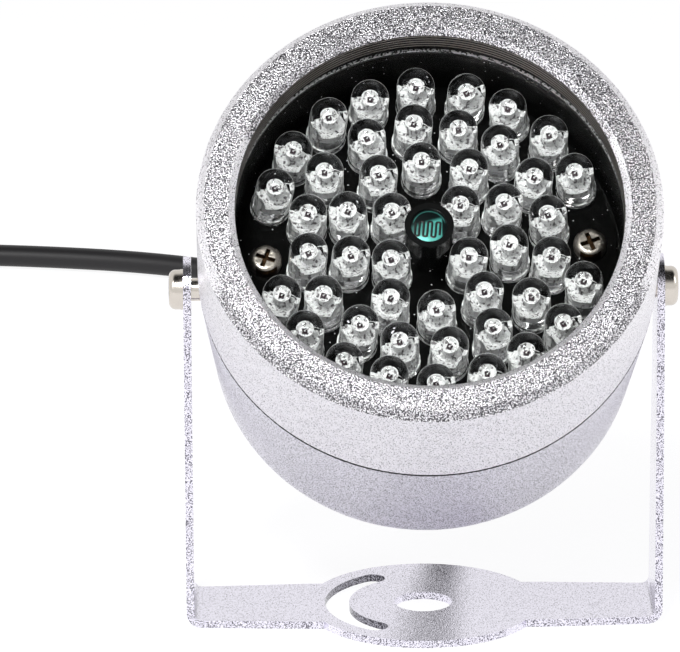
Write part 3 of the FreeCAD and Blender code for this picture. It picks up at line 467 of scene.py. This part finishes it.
def back_along_floor(tree):
    return split(tree, object_place(tree))["Y"]


def ribbed(name, way, spacing, start, end):
    """The cord's PVC moulded over its ends, with shallow ribs from start to end, drawn as bumps; on the real part
    they let it bend.
    """
    material, tree, skin = finish(name, {"Base Color": linear("0C090D"), "Roughness": 0.5, "IOR": 1.52})
    place = way(tree)
    wave = calc(tree, "SINE", both(tree, place, math.tau / (spacing * MM)))
    emboss(tree, skin, both(tree, wave, within(tree, place, start, end)), 0.8, 0.15)
    return material


def moulded(name, base, roughness):
    """Moulded plastic with a faint spark-eroded grain, about 0.1 mm, from its mould."""
    material, tree, skin = finish(name, {"Base Color": linear(base), "Roughness": roughness})
    emboss(tree, skin, noise(tree, object_place(tree), 0.1, 1.0), 0.3, 0.02)
    return material


def teal_electrodes():
    """Metal film of the light sensor under blue-green resin, with painted light and shade: lit in the middle, the
    painted shade of the sleeve at its top and sides.
    """
    material, tree, skin = finish("resin_over_metal_film_painted_light", {"Metallic": 0.3, "Roughness": 0.3, "Coat Weight": 0.5})
    here = lamp_frame(tree)
    apart = split(tree, here.place)
    right, upward = apart["X"], apart["Y"]
    # painted light and shade: a lit patch whose upper edge slants, a lit sliver at the bottom and a faint highlight
    # line inside the rim; the rest is left dark as painted shade
    sides = both(tree, ramp_mm(tree, right, -2.2, 0.6, 0.25, 1.0), ramp_mm(tree, right, 1.75, 1.5))
    patch = both(tree, ramp_mm(tree, total(tree, right, -0.28, upward), 1.0, 0.3), sides)
    sliver = both(tree, ramp_mm(tree, upward, -1.3, -1.6), ramp_mm(tree, here.radius, 2.25, 2.1))
    line = both(tree, ramp_mm(tree, here.radius, 1.95, 2.05), ramp_mm(tree, here.radius, 2.17, 2.07))
    rim = both(tree, line, ramp_mm(tree, upward, 0.2, 0.9, 0.0, 0.45))
    painted_light_and_shade = larger(tree, larger(tree, patch, sliver), rim)
    cloud = ramp(tree, noise(tree, here.place, 0.5, 1.0), 0.3, 0.7, 0.75, 1.0)
    tint(tree, skin, both(tree, painted_light_and_shade, cloud), "031214", "5FC4BA")
    return material


def float_glass():
    """Clear float glass: lets nearly everything through and mirrors a little more towards its edge."""
    material, tree = blank("float_glass")
    through = add(tree, "ShaderNodeBsdfTransparent", inputs={"Color": linear("FDFEFD")})
    mirror = add(tree, "ShaderNodeBsdfGlossy", inputs={"Roughness": 0.0})
    # only the pane's outer faces mirror: light goes straight through this glass, so at its inner faces a flat
    # view would wrongly count as total reflection
    share = both(tree, add(tree, "ShaderNodeFresnel", inputs={"IOR": 1.3}).outputs[0], outer_faces(tree))
    mixed = add(tree, "ShaderNodeMixShader", inputs={0: share, 1: through.outputs[0], 2: mirror.outputs[0]})
    add(tree, "ShaderNodeOutputMaterial", inputs={"Surface": mixed.outputs[0]})
    return material


BRACKET_PAINT = bracket_paint()
EPOXY = clear_epoxy()
NICKEL = plated_steel()
BOARD_SCREW = board_screw_steel()
LEAD_FRAME = stamped_silver()
BLACK_PLASTIC = moulded("moulded_black_abs", "0A0A0B", 0.2)
CORD_SHEATH = pvc("black_pvc_sheath", "0C090D", 0.5)
RUBBER = moulded("black_nitrile_rubber", "0B0B0B", 0.6)

CAD_FINISHES = {
    "bracket": BRACKET_PAINT,
    "front_ring": ring_paint(),
    "rear_shell": shell_paint(),
    "front_glass": float_glass(),
    "glass_gasket": rubber_with_dotted_edge(),
    "seam_seal": RUBBER,
    "lamp_board": solder_mask(),
    "sensor_sleeve": BLACK_PLASTIC,
    "light_sensor": BLACK_PLASTIC,
    "board_screw_right": BOARD_SCREW,
    "board_screw_left": BOARD_SCREW,
    "tilt_screw_right": NICKEL,
    "tilt_screw_left": NICKEL,
    "tilt_washer_right": NICKEL,
    "tilt_washer_left": NICKEL,
    "lead_connector": moulded("natural_nylon", "E4DFD0", 0.45),
    "driver_transistor": BLACK_PLASTIC,
    "trimmer": moulded("blue_moulded_polyester", "1C3F9A", 0.35),
    "resistors": moulded("dipped_resistor_lacquer", "D8C39A", 0.35),
    "input_diode": BLACK_PLASTIC,
    "strain_relief": ribbed("ribbed_pvc_relief", along_lamp, 1.8, *map(depth, RELIEF_RIB_DEPTHS)),
    "lead_in": CORD_SHEATH,
    "coil_tie": BLACK_PLASTIC,
    "power_socket": ribbed("ribbed_pvc_socket", back_along_floor, 1.6, *SOCKET_RIBS),
    "socket_sleeve": NICKEL,
    "socket_pin": NICKEL,
}
for node_name, material in CAD_FINISHES.items():
    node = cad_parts[node_name]
    node.data.materials.clear()
    node.data.materials.append(material)


# ---------------------------------------------------------------- camera

CAMERA_PLACE = (-0.0219, -0.7475, 0.2676)
CAMERA_TURN = 0.846
CAMERA_DROP = 16.991
CAMERA_ROLL = -0.23
FOCAL_LENGTH_PIXELS = 6000
PICTURE_WIDTH_PIXELS = 680


def standing(x_axis, y_axis, z_axis, place):
    """The matrix of something that stands at this place with its axes pointing these ways."""
    matrix = Matrix((x_axis, y_axis, z_axis)).transposed().to_4x4()
    matrix.translation = place
    return matrix


def place_camera():
    """The photograph's view: a long lens a little above the lamp, almost straight on."""
    turn, drop, roll = (math.radians(angle) for angle in (CAMERA_TURN, CAMERA_DROP, CAMERA_ROLL))
    ahead = Vector((math.sin(turn) * math.cos(drop), math.cos(turn) * math.cos(drop), -math.sin(drop)))
    right = Vector((math.cos(turn), -math.sin(turn), 0))
    up = right.cross(ahead)
    across = right * math.cos(roll) + up * math.sin(roll)
    upward = up * math.cos(roll) - right * math.sin(roll)
    camera = bpy.data.cameras.new("camera")
    camera.sensor_width = 36
    camera.lens = camera.sensor_width * FOCAL_LENGTH_PIXELS / PICTURE_WIDTH_PIXELS
    camera.clip_start = 0.05
    holder = bpy.data.objects.new("camera", camera)
    holder.matrix_world = standing(across, upward, -ahead, CAMERA_PLACE)
    bpy.context.scene.collection.objects.link(holder)
    bpy.context.scene.camera = holder


place_camera()


# ---------------------------------------------------------------- meshes


def new_piece(name, shape, materials, body="housing", smooth_angle=35):
    """Turns a bmesh into a piece that rides on a body."""
    mesh = bpy.data.meshes.new(name)
    shape.to_mesh(mesh)
    shape.free()
    for material in materials:
        mesh.materials.append(material)
    mesh.shade_smooth()
    mesh.set_sharp_from_angle(angle=math.radians(smooth_angle))
    piece = bpy.data.objects.new(name, mesh)
    bpy.context.scene.collection.objects.link(piece)
    if body is not None:
        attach(piece, body)
    return piece


def lathe(corners, steps):
    """A shape turned round Z from corners given as radius and height in millimetres."""
    shape = bmesh.new()
    spots = [shape.verts.new((radius * MM, 0, height * MM)) for radius, height in corners]
    edges = [shape.edges.new(pair) for pair in zip(spots, spots[1:])]
    bmesh.ops.spin(shape, geom=spots + edges, cent=(0, 0, 0), axis=(0, 0, 1), angle=math.tau, steps=steps,
                   use_merge=True, use_duplicate=False)
    bmesh.ops.remove_doubles(shape, verts=shape.verts, dist=0.001 * MM)
    bmesh.ops.recalc_face_normals(shape, faces=shape.faces)
    return shape


def smooth_line(name, points, resolution, bevel=0.0):
    """The smooth line that these control points give, in millimetres, as a wire or a thin tube of this radius."""
    curve = bpy.data.curves.new(name, "CURVE")
    curve.dimensions = "3D"
    curve.resolution_u = resolution
    curve.bevel_depth = bevel * MM
    curve.bevel_resolution = 1
    spline = curve.splines.new("NURBS")
    spline.points.add(len(points) - 1)
    for point, (x, y, z) in zip(spline.points, points):
        point.co = (x * MM, y * MM, z * MM, 1)
    spline.order_u = 3
    spline.use_endpoint_u = True
    holder = bpy.data.objects.new(name, curve)
    bpy.context.scene.collection.objects.link(holder)
    bpy.context.view_layer.update()
    made = bpy.data.meshes.new_from_object(holder.evaluated_get(bpy.context.evaluated_depsgraph_get()))
    shape = bmesh.new()
    shape.from_mesh(made)
    bpy.data.objects.remove(holder)
    bpy.data.meshes.remove(made)
    return shape


def repeat(shape, places):
    """One mesh that holds the shape at each place."""
    single = bpy.data.meshes.new("single")
    shape.to_mesh(single)
    shape.free()
    whole = bmesh.new()
    for place in places:
        before = len(whole.verts)
        whole.from_mesh(single)
        whole.verts.ensure_lookup_table()
        bmesh.ops.transform(whole, matrix=place, verts=whole.verts[before:])
    bpy.data.meshes.remove(single)
    return whole


# ---------------------------------------------------------------- cord

# The route's control points, in millimetres: out of the relief, down to the floor, back behind the lamp and
# away to the left. Where the cord turns they lie a little outside the places that the part's source names.
CORD_ROUTE = [
    (0.35, 24.26, 22.2),
    (0.6, 29.6, 17.4),
    (6.6, 47.0, CORD_LEVEL),
    (7.0, 78.0, CORD_LEVEL),
    (5.0, 110.0, CORD_LEVEL),
    (-7.0, 139.0, CORD_LEVEL),
    (-32.5, 156.2, CORD_LEVEL),
    (-62.0, 162.8, CORD_LEVEL),
    (-86.0, 163.2, CORD_LEVEL),
]
COIL_CENTRE = (-96.0, 142.5)
COIL_RADII = (22.45, 19.05, 15.65)
COIL_POINTS_IN_TURN = 18
TAIL_LEVEL = 5.35
TAIL_ROUTE = [(-118.2, 137.0, TAIL_LEVEL), (-118.9, 127.0, TAIL_LEVEL), (-118.2, 117.0, TAIL_LEVEL)]
CORD_SIDES = 20


def coil_points():
    """Turns of the coil: three in the bottom layer from the outside in, then up and from the inside out."""
    # the control points lie a little outside the round that the spline draws between them
    outside = 1 / math.cos(math.pi / COIL_POINTS_IN_TURN)
    outer, middle, inner = COIL_RADII
    top = CORD_LEVEL + CORD_DIAMETER
    # bearing along the coil in degrees, radius and height at the ends of its steady stretches
    stations = [
        (85, outer, CORD_LEVEL), (375, outer, CORD_LEVEL), (420, middle, CORD_LEVEL), (735, middle, CORD_LEVEL),
        (780, inner, CORD_LEVEL), (1050, inner, CORD_LEVEL), (1095, inner, top), (1365, inner, top),
        (1410, middle, top), (1725, middle, top), (1770, outer, top), (1985, outer, top),
    ]
    points = []
    bearing = stations[0][0]
    while bearing < stations[-1][0]:
        for (start, radius_a, level_a), (end, radius_b, level_b) in zip(stations, stations[1:]):
            if start <= bearing <= end:
                share = (bearing - start) / (end - start)
                share = share * share * (3 - 2 * share)
                radius = (radius_a + (radius_b - radius_a) * share) * outside
                level = level_a + (level_b - level_a) * share
        points.append((COIL_CENTRE[0] + radius * math.cos(math.radians(bearing)),
                       COIL_CENTRE[1] + radius * math.sin(math.radians(bearing)), level))
        bearing += 360 / COIL_POINTS_IN_TURN
    return points


def tube(spots, radius, sides):
    """A round tube that follows the points, closed at both ends."""
    shape = bmesh.new()
    side = Vector((1, 0, 0))
    places = []
    for index, spot in enumerate(spots):
        ahead = (spots[min(index + 1, len(spots) - 1)] - spots[max(index - 1, 0)]).normalized()
        side = (side - ahead * side.dot(ahead)).normalized()
        places.append(standing(side, ahead.cross(side), ahead, spot))
    bmesh.ops.create_circle(shape, cap_ends=True, segments=sides, radius=radius, matrix=places[0])
    edges = list(shape.edges)
    for before, after in zip(places, places[1:]):
        made = bmesh.ops.extrude_edge_only(shape, edges=edges)["geom"]
        ring = [item for item in made if isinstance(item, bmesh.types.BMVert)]
        edges = [item for item in made if isinstance(item, bmesh.types.BMEdge)]
        bmesh.ops.transform(shape, matrix=after @ before.inverted(), verts=ring)
    bmesh.ops.edgenet_fill(shape, edges=edges)
    bmesh.ops.recalc_face_normals(shape, faces=shape.faces)
    return shape


def make_cord():
    line = smooth_line("cord_line", CORD_ROUTE + coil_points() + TAIL_ROUTE, resolution=10)
    spots = [vert.co.copy() for vert in line.verts]
    line.free()
    cord = new_piece("power_cord", tube(spots, CORD_DIAMETER / 2 * MM, CORD_SIDES), [CORD_SHEATH], body=None)
    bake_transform(cord)
    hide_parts("cord", "cord_coil", "cord_tail")


make_cord()


# ---------------------------------------------------------------- lamps

LampRow = namedtuple("LampRow", "circle lean count middle step")

# Diameter of each row's circle, lean to the axis, number of lamps, bearing of the row's middle and bearing
# from lamp to lamp.
LAMP_ROWS = {
    "lamps_outer_upper": LampRow(42.6, 4.0, 9, 90.4, 17.1),
    "lamps_outer_lower": LampRow(42.6, 4.0, 9, 269.2, 17.0),
    "lamps_third_right": LampRow(31.8, 1.5, 8, 39.3, 21.8),
    "lamps_third_left": LampRow(31.8, 1.5, 8, 220.4, 22.0),
    "lamps_second_upper": LampRow(21.2, 0.1, 7, 90.7, 34.1),
    "lamps_second_lower": LampRow(21.2, 0.1, 3, 272.4, 33.9),
    "lamps_inner_upper": LampRow(11.6, 0.1, 2, 90.7, 102.3),
    "lamps_inner_lower": LampRow(11.6, 0.1, 2, 268.7, 109.3),
}
BOARD_TURN = 2.7
# How far a lamp leans astray and by what its direction goes on from lamp to lamp; how far it is turned about
# its own axis at most, and the step from lamp to lamp of that turn's sine, in radians.
LAMP_ASTRAY = 2.4
ASTRAY_STEP = 211
LAMP_SPIN = 22
SPIN_STEP = 2.4


def lamp_places():
    """Where each lamp stands, row by row: spread along its arc, leaning to the axis and a little astray."""
    places = {}
    number = 0
    for name, row in LAMP_ROWS.items():
        places[name] = []
        for index in range(row.count):
            bearing = math.radians(row.middle + BOARD_TURN + row.step * ((row.count - 1) / 2 - index))
            astray = math.radians(ASTRAY_STEP * number)
            number += 1
            lean_x = LAMP_ASTRAY * math.cos(astray) - row.lean * math.cos(bearing)
            lean_y = LAMP_ASTRAY * math.sin(astray) - row.lean * math.sin(bearing)
            angle = math.radians(math.hypot(lean_x, lean_y))
            # lifted so that the low side of its rim still rests on the board
            lift = RIM_RADIUS * math.sin(angle)
            spot = Vector((row.circle / 2 * math.cos(bearing), row.circle / 2 * math.sin(bearing),
                           depth(BOARD_DEPTH) + lift))
            leaning = Matrix.Rotation(angle, 4, Vector((-lean_y, lean_x, 0)))
            spin = Matrix.Rotation(math.radians(LAMP_SPIN * math.sin(SPIN_STEP * number)), 4, "Z")
            places[name].append(LAMP @ Matrix.Translation(spot * MM) @ leaning @ spin)
    return places


def lamp_body():
    """Clear body of one lamp: rim, straight side and domed top."""
    corners = [(0, 0), (RIM_RADIUS, 0), (RIM_RADIUS, RIM_HEIGHT), (LAMP_RADIUS, RIM_HEIGHT),
               (LAMP_RADIUS, DOME_START)]
    for turn in range(10, 91, 10):
        corners.append((LAMP_RADIUS * math.cos(math.radians(turn)),
                        DOME_START + LAMP_RADIUS * math.sin(math.radians(turn))))
    return lathe(corners, 40)


def bar(shape, x, width, thick, low, high, foot=1.0, slot=0):
    """Adds an upright bar of the lead frame, its lower end narrowed to this share of its width."""
    made = bmesh.ops.create_cube(shape, size=1)["verts"]
    bmesh.ops.scale(shape, vec=(width * MM, thick * MM, (high - low) * MM), verts=made)
    bmesh.ops.translate(shape, vec=(0, 0, (low + high) / 2 * MM), verts=made)
    bmesh.ops.scale(shape, vec=(foot, 1, 1), verts=[vert for vert in made if vert.co.z < (low + high) / 2 * MM])
    bmesh.ops.translate(shape, vec=(x * MM, 0, 0), verts=made)
    for face in {face for vert in made for face in vert.link_faces}:
        face.material_index = slot
    return made


def bond_wire(shape):
    """Adds the bond wire, gold on the real lamp, that arches from the chip to the slim post; it takes the lead
    frame's silver finish.
    """
    wire = bmesh.ops.create_circle(shape, segments=5, radius=0.035 * MM,
                                   matrix=Matrix.Translation((0, 0, 5.95 * MM)))["verts"]
    bmesh.ops.spin(shape, geom=wire + list({edge for vert in wire for edge in vert.link_edges}),
                   cent=(0.72 * MM, 0, 5.8 * MM), axis=(0, 1, 0), angle=math.radians(165), steps=8,
                   use_merge=False, use_duplicate=False)


def epoxy_base(shape, slot):
    """Adds the cloudy edge of the epoxy's underside, a flat ring just above the board, whose pale colour is partly
    a painted reflection.
    """
    base = bmesh.ops.create_circle(shape, segments=24, radius=2.3 * MM, cap_ends=True,
                                   matrix=Matrix.Translation((0, 0, 0.05 * MM)))["verts"]
    floor = next(iter({face for vert in base for face in vert.link_faces}))
    bmesh.ops.inset_region(shape, faces=[floor], thickness=0.5 * MM)
    bmesh.ops.delete(shape, geom=[floor], context="FACES_ONLY")
    for face in {face for vert in base for face in vert.link_faces}:
        face.material_index = slot


def lead_frame():
    """Metal inside one lamp: cup with the chip on the wide post, the slim post beside it, the wire across."""
    cup = [(0, 5.1), (0.5, 5.15), (0.76, 6.15), (0.69, 6.15), (0.5, 5.75), (0, 5.75)]
    shape = lathe(cup, 20)
    # the wide post and the slanting shelf under the cup
    bar(shape, -0.4, 2.5, 0.8, 1.7, 5.1, foot=0.8)
    shelf = bar(shape, 0, 3.0, 2.5, -0.1, 0.1)
    bmesh.ops.scale(shape, vec=(0.6, 1, 1), verts=[vert for vert in shelf if vert.co.y > 0])
    bmesh.ops.rotate(shape, matrix=Matrix.Rotation(math.radians(32), 3, "X"), verts=shelf)
    bmesh.ops.translate(shape, vec=(0, -0.7 * MM, 4.75 * MM), verts=shelf)
    # the slim post and both leads
    bar(shape, 1.5, 0.7, 0.6, 1.7, 5.7, foot=0.8)
    bar(shape, -1.27, 0.5, 0.5, 0.05, 1.8)
    bar(shape, 1.27, 0.5, 0.5, 0.05, 1.8)
    # the chip and the pad on it, from which the wire starts
    bar(shape, 0, 0.42, 0.42, 5.75, 5.93, slot=1)
    bar(shape, 0, 0.12, 0.12, 5.93, 5.95)
    bond_wire(shape)
    epoxy_base(shape, slot=2)
    return shape


def make_lamps():
    chip = sawn_chip()
    base = cloudy_base_and_painted_reflection()
    for row, places in lamp_places().items():
        name = row.removeprefix("lamps_")
        bodies = new_piece(f"clear_lamps_{name}", repeat(lamp_body(), places), [EPOXY])
        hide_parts(row)
        frames = new_piece(f"lead_frames_{name}", repeat(lead_frame(), places), [LEAD_FRAME, chip, base])


make_lamps()


# ---------------------------------------------------------------- light sensor

TRACK_PITCH = 0.526
TRACK_REACH = 1.06
TRACK_STROKES = 7
TRACK_PLACE = (-0.2, -0.42)
TRACK_TURN = -5.4
TRACK_RADIUS = 0.15
FILM_THICKNESS = 0.06


def make_sensor_face():
    """Face of the light sensor: a thin plate of teal film with one dark track that winds across it."""
    face = LAMP @ Matrix.Translation((0, 0, depth(SENSOR_FACE_DEPTH) * MM))
    points = []
    for stroke in range(TRACK_STROKES):
        x = (stroke - (TRACK_STROKES - 1) / 2) * TRACK_PITCH
        low, high = (-TRACK_REACH, TRACK_REACH) if stroke % 2 else (TRACK_REACH, -TRACK_REACH)
        points += [(x, low * 0.72, 0), (x, high * 0.72, 0)]
        if stroke < TRACK_STROKES - 1:
            points += [(x + 0.02, high, 0), (x + TRACK_PITCH - 0.02, high, 0)]
    track = smooth_line("track", points, resolution=4, bevel=TRACK_RADIUS)
    bmesh.ops.scale(track, vec=(1, 1, 0.25), verts=track.verts)
    bmesh.ops.translate(track, vec=(0, 0, FILM_THICKNESS * MM), verts=track.verts)
    place = face @ Matrix.Translation((TRACK_PLACE[0] * MM, TRACK_PLACE[1] * MM, 0))
    bmesh.ops.transform(track, matrix=place @ Matrix.Rotation(math.radians(TRACK_TURN), 4, "Z"), verts=track.verts)
    piece = new_piece("sensor_track", track, [finish("burnt_sulphide_track", {
        "Base Color": linear("02090A"), "Roughness": 0.35})[0]])
    plate = lathe([(0, 0), (2.32, 0), (2.32, 0.03), (2.22, FILM_THICKNESS), (0, FILM_THICKNESS)], 48)
    bmesh.ops.transform(plate, matrix=face, verts=plate.verts)
    film = new_piece("sensor_film", plate, [teal_electrodes()])


make_sensor_face()


# ---------------------------------------------------------------- studio

# The photograph's studio: white sweep below, behind and beside, a dark ceiling that shows in polished metal as
# black, and three soft boxes high at the left, at the right and in front.
DARK_ROOM = (0.1, -0.22, 0.97)
# where the ceiling begins to darken and where it is darkest, as the cosine of the angle from its middle
DARK_ROOM_EDGES = (0.6, 0.94)
DARKEST = 0.02
# how strongly the sweep lights things, and how bright it shows in metal and glass
SWEEP_LIGHT = 0.4
SWEEP_IN_MIRRORS = 0.88
# name, place, width, height and power of each
SOFT_BOXES = [
    ("left_box", (-0.33, -0.22, 0.34), 0.18, 0.24, 0.45),
    ("right_box", (0.41, -0.11, 0.3), 0.18, 0.24, 0.3),
    ("front_box", (-0.1, -0.34, 0.4), 0.12, 0.12, 1.7),
]
SOFT_BOX_TARGET = Vector((0, 0, 0.04))
SEEN_RAYS = ("Is Camera Ray", "Is Glossy Ray", "Is Transmission Ray")


def make_floor():
    """White studio table that shows as plain white, with the soft shade that the lamp casts on it."""
    material, tree = blank("white_sweep")
    lit = add(tree, "ShaderNodeBsdfDiffuse", inputs={"Color": linear("F2F2F5")})
    faint = add(tree, "ShaderNodeBsdfDiffuse", inputs={"Color": linear("7C7C80")})
    glow = add(tree, "ShaderNodeEmission", inputs={"Color": (1, 1, 1, 1), "Strength": 0.88})
    shown = add(tree, "ShaderNodeAddShader", inputs={0: faint.outputs[0], 1: glow.outputs[0]})
    mixed = add(tree, "ShaderNodeMixShader", inputs={
        0: ray_is(tree, *SEEN_RAYS), 1: lit.outputs[0], 2: shown.outputs[0]})
    add(tree, "ShaderNodeOutputMaterial", inputs={"Surface": mixed.outputs[0]})
    shape = bmesh.new()
    bmesh.ops.create_grid(shape, x_segments=1, y_segments=1, size=6)
    bmesh.ops.translate(shape, vec=(0, 0, -0.1 * MM), verts=shape.verts)
    mesh = bpy.data.meshes.new("table")
    shape.to_mesh(mesh)
    shape.free()
    mesh.materials.append(material)
    table = bpy.data.objects.new("table", mesh)
    bpy.context.scene.collection.objects.link(table)


def soft_box(name, place, width, height, power):
    light = bpy.data.lights.new(name, "AREA")
    light.shape = "RECTANGLE"
    light.size = width
    light.size_y = height
    light.energy = power
    holder = bpy.data.objects.new(name, light)
    holder.location = place
    holder.rotation_euler = (SOFT_BOX_TARGET - Vector(place)).to_track_quat("-Z", "Y").to_euler()
    bpy.context.scene.collection.objects.link(holder)


def make_light():
    world = bpy.data.worlds.new("studio")
    world.use_nodes = True
    bpy.context.scene.world = world
    tree = world.node_tree
    tree.nodes.clear()
    direct = ray_is(tree, "Is Camera Ray")
    way = add(tree, "ShaderNodeTexCoord").outputs["Generated"]
    towards = vector_calc(tree, "DOT_PRODUCT", way, DARK_ROOM)["Value"]
    shade = ramp(tree, towards, *DARK_ROOM_EDGES, 1.0, DARKEST)
    shown = blended(tree, direct, both(tree, shade, SWEEP_IN_MIRRORS), 1.0, "FLOAT")
    strength = blended(tree, ray_is(tree, *SEEN_RAYS), SWEEP_LIGHT, shown, "FLOAT")
    sweep = add(tree, "ShaderNodeBackground", inputs={"Color": (1, 1, 1, 1), "Strength": strength})
    add(tree, "ShaderNodeOutputWorld", inputs={"Surface": sweep.outputs[0]})
    for box in SOFT_BOXES:
        soft_box(*box)
    bpy.context.scene.view_settings.view_transform = "Standard"


make_floor()
make_light()
